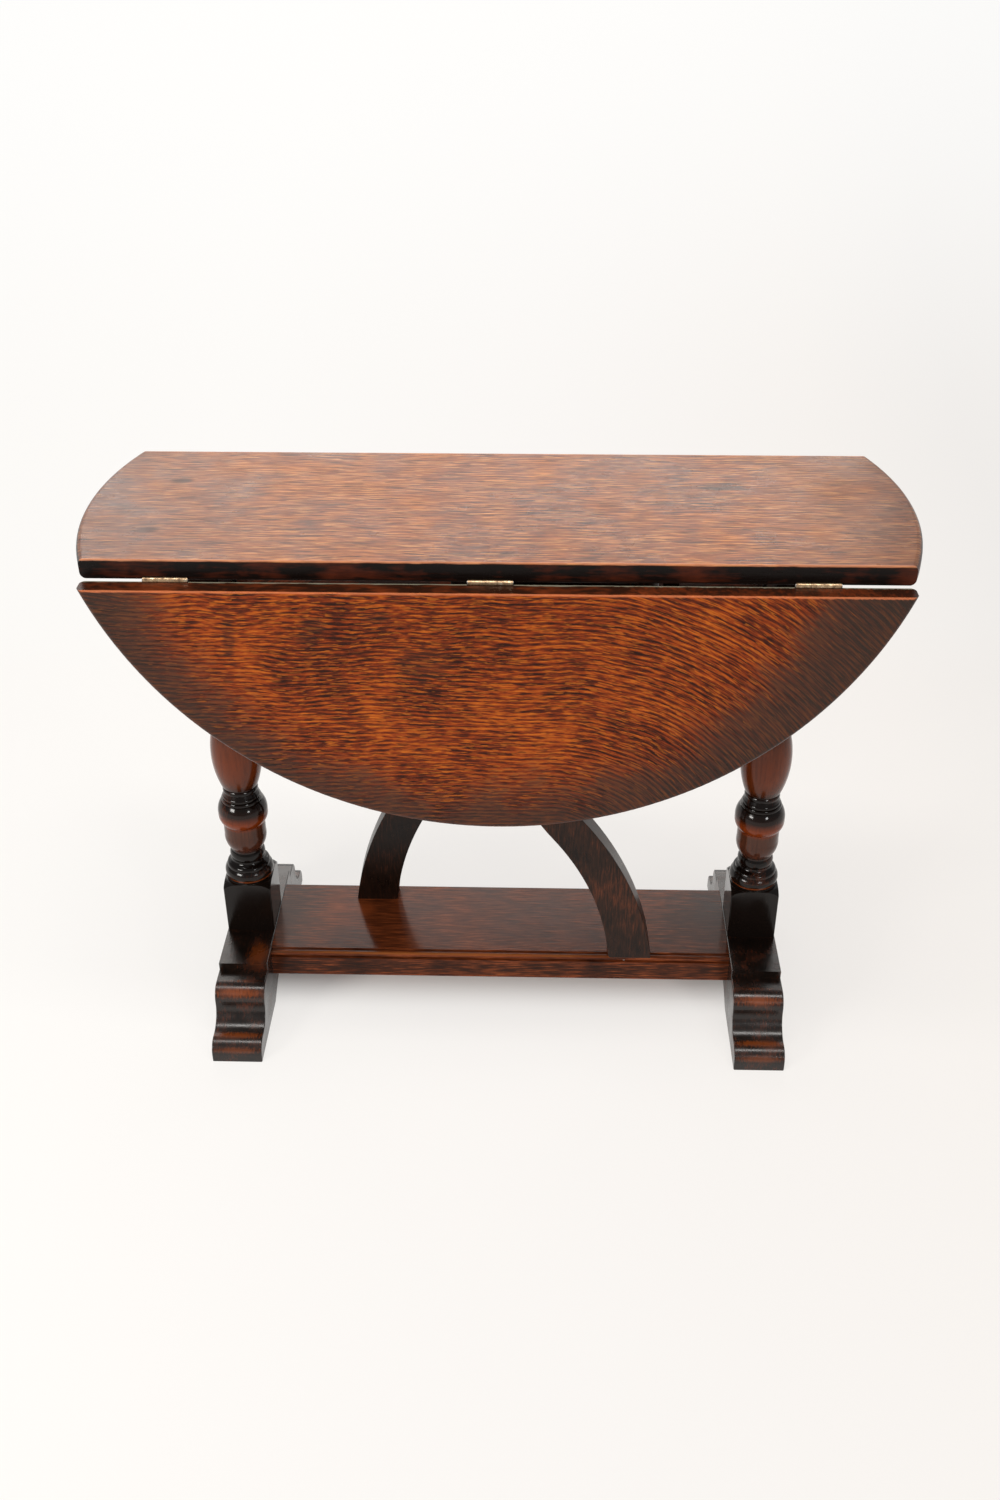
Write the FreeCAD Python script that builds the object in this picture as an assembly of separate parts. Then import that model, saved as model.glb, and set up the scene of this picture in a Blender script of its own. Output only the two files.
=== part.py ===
import FreeCAD, Part
import math
import os

# Oval drop-leaf table on two turned posts with sledge feet and swinging butterfly supports.
# Millimetres. X is the long way of the top, Y crosses the leaves, Z is up.
# The origin lies on the floor under the middle of the table.

# Top
top_length = 712.0
top_width_open = 690.0
panel_width = 229.0
table_height = 524.5
board_thickness = 17.5
rim_round_upper = 5.0
rim_round_lower = 5.5
arris_round = 0.6
leaf_gap = 0.5  # from the hinge axis to either board's edge

# Posts
post_inset = 103.3  # from the end of the top to the middle of a post
block_side = 47.0
block_height = 57.0
block_arris = 0.9
turning_radius = 24.2
post_tenon_radius = 11.0
post_tenon_length = 26.0

# Feet
foot_length = 287.0
foot_width = 48.5
foot_height = 66.0
foot_flat_length = 151.0
foot_arris = 1.0
foot_step = 8.0
nosing_reach = 107.0
nosing_radius = 14.0
hollow_radius = 19.0
toe_height = 21.0
toe_radius = 13.0
arch_width = 114.0
arch_rise = 16.0

# Shelf between the feet
shelf_field_width = 99.0
shelf_bead_width = 110.0
shelf_face_width = 107.0
shelf_thickness = 32.0
quirk_depth = 1.6
bead_height = 4.2
bead_radius = 2.2
groove_depth = 2.4
groove_height = 3.6
shelf_tenon_width = 64.0
shelf_tenon_thickness = 14.0
shelf_tenon_length = 12.0

# Frame under the top
bearer_length = 184.0
bearer_depth = 37.0
bearer_nose = 20.0
rail_width = 22.0
rail_clearance = 0.4

# Butterfly supports
pivot_reach = 128.0  # along X, from the middle of the table to either pivot
front_pivot_offset = 47.5
back_pivot_offset = 40.0
brace_thickness = 22.5
brace_outer_foot = 150.0
brace_inner_foot = 108.0
outer_sweep_radius = 325.0
inner_sweep_radius = 264.0
outer_foot_lean = 7.0
inner_foot_lean = 4.3
sweep_end_lean = 39.5
neck_radius = 145.0
brace_corner_radius = 3.5
head_drop = 25.0  # from the underside of the top to the head of a support
head_depth = 26.0
head_thickness = 18.0
head_reach = 118.0
head_tenon = (24.0, 8.0, 15.0)
head_tip_radius = 8.0
foot_clearance = 0.3

# Pivot pins
lower_pin_radius = 2.5
lower_pin_in_shelf = 25.0
lower_pin_in_brace = 30.0
upper_pin_radius = 4.0
upper_pin_in_rail = 18.0
upper_pin_in_head = 20.0
running_clearance = 0.06
nail_head_radius = 1.2
nail_head_height = 0.5
nail_radius = 0.8
nail_length = 9.0
nail_offset = 3.7
nail_drop = 8.0

# Ramp block under each leaf
ramp_thin_end = 2.0
ramp_run = 47.0
ramp_start = 14.0
ramp_length = 47.0
ramp_contact_gap = 0.4
stop_length = 13.0
stop_drop = 8.0

# Hinges
hinge_inset = 73.0  # from the end of a leaf's straight edge to the middle of its end hinge
hinge_shift = -4.0
hinge_length = 36.5
hinge_leaf_width = 21.0
hinge_leaf_thickness = 1.6
knuckle_radius = 3.0
hinge_pin_radius = 1.4
pin_cap_radius = 2.4
pin_cap_height = 0.6
hinge_axis_drop = 0.8
knuckle_gap = 0.3
knuckle_clearance = 0.5
mortise_clearance = 0.15

# Screws
small_screw = {"head": 2.9, "shank": 1.5, "cone": 1.6, "length": 12.0}
medium_screw = {"head": 3.6, "shank": 1.9, "cone": 2.3, "length": 22.0}
large_screw = {"head": 4.2, "shank": 2.1, "cone": 2.8, "length": 32.0}
screw_clearance = 0.08
slot_width = 0.8
slot_depth = 0.6
screw_bite = 11.0
hinge_screw_pitch = 22.0
hinge_screw_inset = 12.5
bearer_screw_offset = 58.0
rail_screw_spacing = 170.0
joint_clearance = 0.1

# Levels and places that follow from the sizes above
underside = table_height - board_thickness
axis_y = -(panel_width / 2 + leaf_gap)
axis_z = underside - hinge_axis_drop
post_x = top_length / 2 - post_inset
leaf_half_length = top_length / 2 * math.sqrt(1 - (2 * (axis_y - leaf_gap) / top_width_open) ** 2)
hinge_spacing = leaf_half_length - hinge_inset
bearer_bottom = underside - bearer_depth
post_middle = (foot_height + bearer_bottom) / 2
block_top = foot_height + block_height
shelf_length = 2 * post_x - foot_width
head_top = underside - head_drop
rail_depth = head_drop - rail_clearance
brace_bottom = foot_height + foot_clearance
SIDES = {"front": front_pivot_offset, "back": back_pivot_offset}
ENDS = {"left": -1, "right": 1}


def vec(x, y, z):
    return FreeCAD.Vector(x, y, z)


def block(x, y, z):
    """A box between the limits given as (low, high) pairs."""
    return Part.makeBox(x[1] - x[0], y[1] - y[0], z[1] - z[0], vec(x[0], y[0], z[0]))


def centred(middle, size):
    return (middle - size / 2, middle + size / 2)


def rod(radius, start, direction, length):
    return Part.makeCylinder(radius, length, start, direction)


def axial_rod(radius, middle, length):
    """A rod on the front leaf's hinge axis, about the X of its middle."""
    return rod(radius, vec(middle - length / 2, axis_y, axis_z), vec(1, 0, 0), length)


def on_circle(centre, radius, degrees):
    turn = math.radians(degrees)
    return (centre[0] + radius * math.cos(turn), centre[1] + radius * math.sin(turn))


def outline(place, start, steps):
    """A face: each step is one end point, or a point on an arc and its end point."""
    edges = []
    here = place(*start)
    for step in steps:
        there = place(*step[-1])
        if len(step) == 1:
            edges.append(Part.makeLine(here, there))
        else:
            edges.append(Part.Arc(here, place(*step[0]), there).toShape())
        here = there
    return Part.Face(Part.Wire(edges))


def in_yz(x):
    return lambda y, z: vec(x, y, z)


def in_xz(y):
    return lambda x, z: vec(x, y, z)


def turned_to_back(shape):
    """The same piece on the other side of the table."""
    copy = shape.copy()
    copy.rotate(vec(0, 0, 0), vec(0, 0, 1), 180)
    return copy


def hanging(shape):
    """Swings a piece of the front leaf from level to hanging."""
    copy = shape.copy()
    copy.rotate(vec(0, axis_y, axis_z), vec(1, 0, 0), 90)
    return copy


def screw(kind, spare=0.0):
    """A countersunk screw pointing up from its head, or with some spare, its hole."""
    shank = kind["shank"] + spare
    body = Part.makeCone(kind["head"] + spare, shank, kind["cone"] + spare)
    body = body.fuse(rod(shank, vec(0, 0, 0), vec(0, 0, 1), kind["length"] + spare))
    if spare:
        return body
    slot = block(centred(0, 3 * kind["head"]), centred(0, slot_width), (-1, slot_depth))
    return body.cut(slot)


def at(shape, x, y, z):
    copy = shape.copy()
    copy.translate(vec(x, y, z))
    return copy


def soften_sides(solid, axis, radius):
    """Rounds the edges around a sawn timber's two flat sides, which face along the axis."""
    low, high = getattr(solid.BoundBox, axis + "Min"), getattr(solid.BoundBox, axis + "Max")
    edges = []
    for edge in solid.Edges:
        start, end = getattr(edge.BoundBox, axis + "Min"), getattr(edge.BoundBox, axis + "Max")
        if end - start < 0.01 and (start < low + 0.01 or end > high - 0.01):
            edges.append(edge)
    return solid.makeFillet(radius, edges)


# Top boards

def hinge_centres():
    return [hinge_shift + step * hinge_spacing for step in (-1, 0, 1)]


def hinge_screw_places(inward):
    """Where the screws of the front hinges go, on the panel (1) or on the leaf (-1)."""
    y = axis_y + inward * hinge_screw_inset
    return [
        (x + end * hinge_screw_pitch / 2, y)
        for x in hinge_centres()
        for end in (-1, 1)
    ]


def oval():
    """The outline of the open top in four quarters, whichever way it is longer."""
    ends = vec(top_length / 2, 0, 0), vec(0, top_width_open / 2, 0)
    major, minor = sorted(ends, key=lambda end: end.Length, reverse=True)
    level = vec(0, 0, underside)
    curve = Part.Ellipse(major + level, minor + level, level)
    quarter = math.pi / 2
    return [curve.toShape(turn * quarter, (turn + 1) * quarter) for turn in range(4)]


def oval_slab():
    slab = Part.Face(Part.Wire(oval())).extrude(vec(0, 0, board_thickness))
    upper = [edge for edge in slab.Edges if edge.BoundBox.ZMin > table_height - 0.1]
    slab = slab.makeFillet(rim_round_upper, upper)
    lower = [edge for edge in slab.Edges if edge.BoundBox.ZMax < underside + 0.1]
    return slab.makeFillet(rim_round_lower, lower)


def strip(y):
    """A long board with softened arrises, to be met with the oval."""
    board = block(centred(0, 2 * top_length), y, (underside, table_height))
    long_edges = [edge for edge in board.Edges if edge.BoundBox.XLength > top_length]
    return board.makeFillet(arris_round, long_edges)


def hinge_mortise(x, inward):
    """Room for one hinge leaf and the knuckle in a board's edge."""
    length = hinge_length + 2 * mortise_clearance
    reach = hinge_leaf_width + mortise_clearance
    ends = sorted((axis_y, axis_y + inward * reach))
    sunk = (underside - hinge_axis_drop, underside + hinge_leaf_thickness + mortise_clearance)
    seat = block(centred(x, length), ends, sunk)
    length = hinge_length + 2 * knuckle_clearance
    return seat.fuse(axial_rod(knuckle_radius + knuckle_clearance, x, length))


def panel():
    board = oval_slab().common(strip(centred(0, panel_width)))
    hole = screw(small_screw, screw_clearance)
    cuts = [hinge_mortise(x, 1) for x in hinge_centres()]
    cuts += [at(hole, x, y, underside) for x, y in hinge_screw_places(1)]
    cuts += [turned_to_back(cut) for cut in cuts]
    pilot = large_screw["shank"] + screw_clearance
    bite = screw_bite + screw_clearance
    for x, y in bearer_screw_places() + rail_screw_places("front") + rail_screw_places("back"):
        cuts.append(rod(pilot, vec(x, y, underside), vec(0, 0, 1), bite))
    return board.cut(cuts)


def leaf():
    """The front leaf, level."""
    board = oval_slab().common(strip((-top_width_open, axis_y - leaf_gap)))
    hole = screw(small_screw, screw_clearance)
    cuts = [hinge_mortise(x, -1) for x in hinge_centres()]
    cuts += [at(hole, x, y, underside) for x, y in hinge_screw_places(-1)]
    cuts += ramp_screw_bores()
    return board.cut(cuts)


# Hinges

def hinge_leaf(x, inward, knuckles):
    """One leaf of a butt hinge, level; knuckles lists its sections out of three."""
    section = hinge_length / 3
    root_gap = knuckle_radius + knuckle_clearance
    flat_y = sorted((axis_y + inward * root_gap, axis_y + inward * hinge_leaf_width))
    flat_z = (underside, underside + hinge_leaf_thickness)
    plate = block(centred(x, hinge_length), flat_y, flat_z)
    tab_y = sorted((axis_y, axis_y + inward * (root_gap + 1)))
    for place in knuckles:
        middle = x + place * section
        width = section - knuckle_gap
        plate = plate.fuse(block(centred(middle, width), tab_y, flat_z))
        plate = plate.fuse(axial_rod(knuckle_radius, middle, width))
    cuts = [axial_rod(hinge_pin_radius + running_clearance, x, 2 * hinge_length)]
    hole = screw(small_screw, screw_clearance)
    for screw_x, screw_y in hinge_screw_places(inward):
        if abs(screw_x - x) < hinge_length:
            cuts.append(at(hole, screw_x, screw_y, underside))
    return plate.cut(cuts)


def hinge_pin(x):
    """A plain pin with a low cap at either end."""
    length = hinge_length - knuckle_gap
    pin = axial_rod(hinge_pin_radius, x, length)
    for end in (-1, 1):
        middle = x + end * (length + pin_cap_height) / 2
        pin = pin.fuse(axial_rod(pin_cap_radius, middle, pin_cap_height))
    return pin


# Posts

def turned_outline():
    """The turned outline as (radius, height) steps, from the lower block to the middle.

    It is drawn 24.2 wide and 145 high, then stretched to fit between the blocks.
    """
    wide = turning_radius / 24.2
    high = (post_middle - block_top) / 145.0
    rolls = [
        [(22.3, 0.8)],
        [(24.0, 6.5), (21.9, 12.3)],
        [(21.2, 13.2)],
        [(20.6, 16.4), (18.4, 18.2)],
    ]
    cove_and_ring = [
        [(17.0, 19.4)],
        [(16.3, 21.2), (16.6, 23.0)],
        [(17.4, 27.0), (16.3, 31.4)],
        [(15.7, 32.2)],
        [(15.7, 34.0)],
    ]
    cup_and_ball = [
        [(18.7, 39.2), (20.4, 52.0)],
        [(20.4, 64.4)],
        [(22.9, 68.2), (24.1, 76.0)],
        [(23.5, 83.6), (20.4, 90.3)],
    ]
    neck = [
        [(19.7, 90.6)],
        [(19.8, 92.2), (19.2, 93.7)],
        [(18.1, 93.9)],
        [(18.3, 95.8), (17.4, 97.8)],
        [(16.2, 100.8)],
        [(17.1, 103.4), (16.4, 105.8)],
        [(15.8, 106.4)],
        [(15.8, 107.2)],
        [(17.5, 108.2)],
    ]
    drawn = rolls + cove_and_ring + cup_and_ball + neck
    return [[(r * wide, block_top + h * high) for r, h in step] for step in drawn]


def post_half():
    """The lower half of a post: the square block's rounded shoulder, then the turning."""
    face = block_side / 2
    corner = face * math.sqrt(2) + 1
    shoulder = corner - face
    shoulder_centre = (face, block_top - shoulder)
    turning = turned_outline()
    neck = turning[-1][-1]
    rise = post_middle - neck[1]
    swell = turning_radius - neck[0]
    bulb_radius = (rise**2 + swell**2) / (2 * swell)
    bulb_centre = (turning_radius - bulb_radius, post_middle)
    half_angle = math.degrees(math.asin(rise / bulb_radius)) / 2
    steps = [
        [(corner, shoulder_centre[1])],
        [on_circle(shoulder_centre, shoulder, 45), (face, block_top)],
        *turning,
        [on_circle(bulb_centre, bulb_radius, -half_angle), (turning_radius, post_middle)],
        [(0, post_middle)],
        [(0, foot_height)],
        [(corner, foot_height)],
    ]
    section = outline(in_xz(0), (corner, foot_height), steps)
    solid = section.revolve(vec(0, 0, 0), vec(0, 0, 1), 360)
    square = block(centred(0, block_side), centred(0, block_side), (foot_height, block_top))
    upright = [edge for edge in square.Edges if edge.BoundBox.ZLength > block_height / 2]
    square = square.makeFillet(block_arris, upright)
    round_part = rod(corner, vec(0, 0, block_top), vec(0, 0, 1), post_middle - block_top)
    return solid.common(square.fuse(round_part))


def post():
    lower = post_half()
    upper = lower.mirror(vec(0, 0, post_middle), vec(0, 0, 1))
    bottom = foot_height - post_tenon_length
    length = bearer_bottom - foot_height + 2 * post_tenon_length
    tenons = rod(post_tenon_radius, vec(0, 0, bottom), vec(0, 0, 1), length)
    return lower.fuse([upper, tenons]).removeSplitter()


def post_socket(z):
    """The hole for a post's tenon, centred on the level z."""
    depth = 2 * (post_tenon_length + joint_clearance)
    return rod(post_tenon_radius + joint_clearance, vec(0, 0, z - depth / 2), vec(0, 0, 1), depth)


# Feet and shelf

def foot_half():
    """The half of a foot towards +Y, with its middle at X = 0."""
    flat = foot_flat_length / 2
    end = foot_length / 2
    ledge = foot_height - foot_step
    nosing = (nosing_reach - nosing_radius, ledge - nosing_radius)
    hollow = (nosing_reach + hollow_radius, toe_height + hollow_radius)
    toe = (end - toe_radius, toe_height - toe_radius)
    arch = arch_width / 2
    arch_radius = (arch**2 + arch_rise**2) / (2 * arch_rise)
    arch_centre = (0, arch_rise - arch_radius)
    arch_turn = 90 - math.degrees(math.asin(arch / arch_radius)) / 2
    steps = [
        [(flat, foot_height)],
        [(flat, ledge)],
        [(nosing[0], ledge)],
        [on_circle(nosing, nosing_radius, 45), (nosing_reach, nosing[1])],
        [(nosing_reach, hollow[1])],
        [on_circle(hollow, hollow_radius, 225), (hollow[0], toe_height)],
        [(toe[0], toe_height)],
        [on_circle(toe, toe_radius, 45), (end, toe[1])],
        [(end, 0)],
        [(arch, 0)],
        [on_circle(arch_centre, arch_radius, arch_turn), (0, arch_rise)],
        [(0, foot_height)],
    ]
    face = outline(in_yz(-foot_width / 2), (0, foot_height), steps)
    return face.extrude(vec(foot_width, 0, 0))


def foot():
    half = foot_half()
    whole = half.fuse(half.mirror(vec(0, 0, 0), vec(0, 1, 0))).removeSplitter()
    return soften_sides(whole, "X", foot_arris).cut(post_socket(foot_height))


def shelf_tenon(spare=0.0):
    """The tenon at the +X end of the shelf, or with some spare, its mortise."""
    middle = foot_height - shelf_thickness / 2
    x = (shelf_length / 2 - 1, shelf_length / 2 + shelf_tenon_length + spare)
    width = centred(0, shelf_tenon_width + 2 * spare)
    return block(x, width, centred(middle, shelf_tenon_thickness + 2 * spare))


def shelf_half_section():
    """The moulded edge towards +Y, from the top down."""
    field = shelf_field_width / 2
    bead = shelf_bead_width / 2
    face = shelf_face_width / 2
    bottom = foot_height - shelf_thickness
    bead_top = foot_height - quirk_depth
    bead_bottom = bead_top - bead_height
    bead_centre = (bead - bead_radius, bead_top - bead_radius)
    groove_bottom = bead_bottom - groove_height
    steps = [
        [(field, foot_height)],
        [(field, bead_top)],
        [(bead - bead_radius, bead_top)],
        [on_circle(bead_centre, bead_radius, 45), (bead, bead_centre[1])],
        [(bead, bead_bottom + 0.6)],
        [(face - groove_depth, bead_bottom)],
        [(face - groove_depth, groove_bottom)],
        [(face, groove_bottom - 0.6)],
        [(face, bottom + arris_round)],
        [(face - arris_round, bottom)],
        [(0, bottom)],
        [(0, foot_height)],
    ]
    return outline(in_yz(-shelf_length / 2), (0, foot_height), steps)


def shelf():
    half = shelf_half_section().extrude(vec(shelf_length, 0, 0))
    board = half.fuse(half.mirror(vec(0, 0, 0), vec(0, 1, 0))).removeSplitter()
    board = board.fuse([shelf_tenon(), turned_to_back(shelf_tenon())])
    depth = lower_pin_in_shelf + foot_clearance
    cuts = []
    for side in SIDES:
        x, y = pivot(side)
        bore = lower_pin_radius + running_clearance
        cuts.append(rod(bore, vec(x, y, foot_height - depth), vec(0, 0, 1), depth + 1))
        cuts.append(nail(side, joint_clearance))
    return board.cut(cuts)


def nail(side, spare=0.0):
    """A small nail in the shelf's groove beside a lower pivot, or its hole."""
    x = pivot_reach - nail_offset
    y = -(shelf_face_width / 2 - groove_depth)
    z = foot_height - nail_drop
    head = rod(nail_head_radius, vec(x, y, z), vec(0, -1, 0), nail_head_height)
    length = nail_length + 2 * spare
    shank = rod(nail_radius + spare, vec(x, y + nail_length + spare, z), vec(0, -1, 0), length)
    whole = shank if spare else head.fuse(shank)
    return whole if side == "front" else turned_to_back(whole)


# Frame under the top

def bearer_screw_places():
    return [
        (end * post_x, way * bearer_screw_offset)
        for end in ENDS.values()
        for way in (-1, 1)
    ]


def rail_screw_places(side):
    y = -SIDES["front"] if side == "front" else SIDES["back"]
    return [(step * rail_screw_spacing, y) for step in (-1, 0, 1)]


def screw_bore(kind, depth):
    """A counterbored hole up through a timber of this depth."""
    start = depth + screw_bite - kind["length"]
    hole = at(screw(kind, screw_clearance), 0, 0, start)
    return hole.fuse(rod(kind["head"] + screw_clearance, vec(0, 0, -1), vec(0, 0, 1), start + 1))


def bearer():
    half = bearer_length / 2
    nose_centre = (half - bearer_nose, bearer_bottom + bearer_nose)
    steps = [
        [(half, underside)],
        [(half, nose_centre[1])],
        [on_circle(nose_centre, bearer_nose, -45), (nose_centre[0], bearer_bottom)],
        [(-nose_centre[0], bearer_bottom)],
        [on_circle((-nose_centre[0], nose_centre[1]), bearer_nose, 225), (-half, nose_centre[1])],
        [(-half, underside)],
    ]
    face = outline(in_yz(-block_side / 2), (-half, underside), steps)
    timber = soften_sides(face.extrude(vec(block_side, 0, 0)), "X", arris_round)
    cuts = [post_socket(bearer_bottom)]
    for way in (-1, 1):
        cuts.append(at(screw_bore(large_screw, bearer_depth), 0, way * bearer_screw_offset, bearer_bottom))
    return timber.cut(cuts)


def rail(side):
    x, y = pivot(side)
    length = 2 * post_x - block_side
    bottom = underside - rail_depth
    timber = block(centred(0, length), centred(y, rail_width), (bottom, underside))
    timber = soften_sides(timber, "Y", arris_round)
    bore = upper_pin_radius + running_clearance
    depth = upper_pin_in_rail + rail_clearance
    cuts = [rod(bore, vec(x, y, bottom - 1), vec(0, 0, 1), depth + 1)]
    for screw_x, screw_y in rail_screw_places(side):
        cuts.append(at(screw_bore(large_screw, rail_depth), screw_x, screw_y, bottom))
    return timber.cut(cuts)


# Butterfly supports

def pivot(side):
    if side == "front":
        return (pivot_reach, -front_pivot_offset)
    return (-pivot_reach, back_pivot_offset)


def to_side(shape, side):
    """Brings a support piece from its own pivot axis to its side of the table."""
    x, y = pivot(side)
    copy = shape.copy()
    if side == "back":
        copy.rotate(vec(0, 0, 0), vec(0, 0, 1), 180)
    copy.translate(vec(x, y, 0))
    return copy


def brace_outline():
    """The swept brace in the plane of the pivot axis, X measured from the axis."""
    outer_foot = (brace_outer_foot - pivot_reach, foot_height)
    inner_foot = (brace_inner_foot - pivot_reach, foot_height)
    outer = on_circle(outer_foot, outer_sweep_radius, 180 + outer_foot_lean)
    inner = on_circle(inner_foot, inner_sweep_radius, 180 + inner_foot_lean)
    neck = on_circle(outer, outer_sweep_radius + neck_radius, sweep_end_lean)
    across = (neck[0] - inner[0], neck[1] - inner[1])
    inner_end_lean = math.degrees(math.atan2(across[1], across[0]))
    inner_neck_radius = math.hypot(*across) - inner_sweep_radius
    lift = brace_bottom - foot_height
    outer_start = outer_foot_lean + math.degrees(lift / outer_sweep_radius)
    inner_start = inner_foot_lean + math.degrees((lift + brace_corner_radius) / inner_sweep_radius)
    top = head_top - head_depth
    outer_foot = on_circle(outer, outer_sweep_radius, outer_start)
    inner_foot = on_circle(inner, inner_sweep_radius, inner_start)
    corner = (inner_foot[0] + brace_corner_radius, brace_bottom + brace_corner_radius)
    steps = [
        [(outer_foot[0], brace_bottom)],
        [
            on_circle(outer, outer_sweep_radius, (outer_start + sweep_end_lean) / 2),
            on_circle(outer, outer_sweep_radius, sweep_end_lean),
        ],
        [
            on_circle(neck, neck_radius, 180 + sweep_end_lean / 2),
            (neck[0] - neck_radius, neck[1]),
        ],
        [(neck[0] - neck_radius, top)],
        [(neck[0] - inner_neck_radius, top)],
        [(neck[0] - inner_neck_radius, neck[1])],
        [
            on_circle(neck, inner_neck_radius, 180 + inner_end_lean / 2),
            on_circle(inner, inner_sweep_radius, inner_end_lean),
        ],
        [
            on_circle(inner, inner_sweep_radius, (inner_start + inner_end_lean) / 2),
            inner_foot,
        ],
        [on_circle(corner, brace_corner_radius, 225), (corner[0], brace_bottom)],
    ]
    middle = neck[0] - (neck_radius + inner_neck_radius) / 2
    face = outline(in_xz(-brace_thickness / 2), (corner[0], brace_bottom), steps)
    return face, middle


def brace_tenon(middle, spare=0.0):
    width, thickness, length = head_tenon
    x = centred(middle, width + 2 * spare)
    z = (head_top - head_depth - 1, head_top - head_depth + length + spare)
    return block(x, centred(0, thickness + 2 * spare), z)


def brace():
    face, middle = brace_outline()
    arm = face.extrude(vec(0, brace_thickness, 0)).fuse(brace_tenon(middle))
    bore = lower_pin_radius + running_clearance
    depth = lower_pin_in_brace + running_clearance
    arm = arm.cut(rod(bore, vec(0, 0, brace_bottom - 1), vec(0, 0, 1), depth + 1))
    flat = [edge for edge in arm.Edges if edge.BoundBox.YLength < 0.01]
    face_edges = [edge for edge in flat if abs(edge.BoundBox.YMax) > brace_thickness / 2 - 0.01]
    return arm.makeFillet(arris_round, [edge for edge in face_edges if edge.BoundBox.ZLength > 30])


def head():
    """The level head of a support, from its pivot to its tip."""
    face, middle = brace_outline()
    half = head_thickness / 2
    z = (head_top - head_depth, head_top)
    bar = block((-head_reach, 0), centred(0, head_thickness), z)
    tip = [edge for edge in bar.Edges if edge.BoundBox.XMax < 0.1 - head_reach]
    bar = bar.makeFillet(head_tip_radius, [edge for edge in tip if edge.BoundBox.ZMax < z[0] + 0.1])
    bar = soften_sides(bar, "Y", arris_round)
    bar = bar.fuse(rod(half, vec(0, 0, z[0]), vec(0, 0, 1), head_depth))
    bore = upper_pin_radius + running_clearance
    depth = upper_pin_in_head + running_clearance
    pin_hole = rod(bore, vec(0, 0, head_top - depth), vec(0, 0, 1), depth + 1)
    return bar.cut([pin_hole, brace_tenon(middle, joint_clearance)])


def lower_pin():
    length = lower_pin_in_shelf + foot_clearance + lower_pin_in_brace
    return rod(lower_pin_radius, vec(0, 0, foot_height - lower_pin_in_shelf), vec(0, 0, 1), length)


def upper_pin():
    length = upper_pin_in_head + rail_clearance + upper_pin_in_rail
    return rod(upper_pin_radius, vec(0, 0, head_top - upper_pin_in_head), vec(0, 0, 1), length)


# Ramp blocks

def ramp():
    """The block that the head of the front support slides under, on the level leaf."""
    contact = pivot_reach + head_thickness / 2
    full = head_drop - ramp_contact_gap
    stop = contact + ramp_contact_gap
    steps = [
        [(contact - ramp_run, underside - ramp_thin_end)],
        [(contact, underside - full)],
        [(stop, underside - full)],
        [(stop, underside - full - stop_drop)],
        [(stop + stop_length, underside - full - stop_drop)],
        [(stop + stop_length, underside)],
        [(contact - ramp_run, underside)],
    ]
    y = axis_y - ramp_start - ramp_length
    face = outline(in_xz(y), (contact - ramp_run, underside), steps)
    wedge = face.extrude(vec(0, ramp_length, 0))
    return wedge.cut(ramp_screw_bores())


def ramp_screw_places():
    x = pivot_reach + head_thickness / 2 - ramp_run / 3
    middle = axis_y - ramp_start - ramp_length / 2
    return [(x, middle - ramp_length / 4), (x, middle + ramp_length / 4)]


def ramp_screw_bores():
    """The holes of the ramp's screws, up through the block and into the level leaf."""
    depth = head_drop + stop_drop
    bore = screw_bore(medium_screw, depth)
    return [at(bore, x, y, underside - depth) for x, y in ramp_screw_places()]


# Building and writing

def compound(shapes):
    return Part.makeCompound(shapes)


def build():
    nodes = {}
    nodes["top_panel"] = panel()
    front_leaf = hanging(leaf())
    nodes["front_leaf"] = front_leaf
    nodes["back_leaf"] = turned_to_back(front_leaf)
    for end, way in ENDS.items():
        x = way * post_x
        mortise = shelf_tenon(joint_clearance)
        base = at(foot(), x, 0, 0).cut(mortise if way > 0 else turned_to_back(mortise))
        nodes[end + "_foot"] = base
        nodes[end + "_post"] = at(post(), x, 0, 0)
        nodes[end + "_bearer"] = at(bearer(), x, 0, 0)
    nodes["shelf"] = shelf()
    front_ramp = hanging(ramp())
    for side in SIDES:
        nodes[side + "_rail"] = rail(side)
        nodes[side + "_brace"] = to_side(brace(), side)
        nodes[side + "_brace_head"] = to_side(head(), side)
        nodes[side + "_lower_pivot_pin"] = to_side(lower_pin(), side)
        nodes[side + "_upper_pivot_pin"] = to_side(upper_pin(), side)
        nodes[side + "_ramp_block"] = front_ramp if side == "front" else turned_to_back(front_ramp)
    add_hinges(nodes)
    add_screws(nodes)
    nodes["shelf_nails"] = compound([nail(side) for side in SIDES])
    return nodes


def add_hinges(nodes):
    for name, x in zip(("left", "middle", "right"), hinge_centres()):
        fixed = hinge_leaf(x, 1, (-1, 1))
        moving = hanging(hinge_leaf(x, -1, (0,)))
        pin = hinge_pin(x)
        nodes["front_" + name + "_hinge_plate"] = fixed
        nodes["front_" + name + "_hinge_flap"] = moving
        nodes["front_" + name + "_hinge_pin"] = pin
        nodes["back_" + name + "_hinge_plate"] = turned_to_back(fixed)
        nodes["back_" + name + "_hinge_flap"] = turned_to_back(moving)
        nodes["back_" + name + "_hinge_pin"] = turned_to_back(pin)


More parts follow.
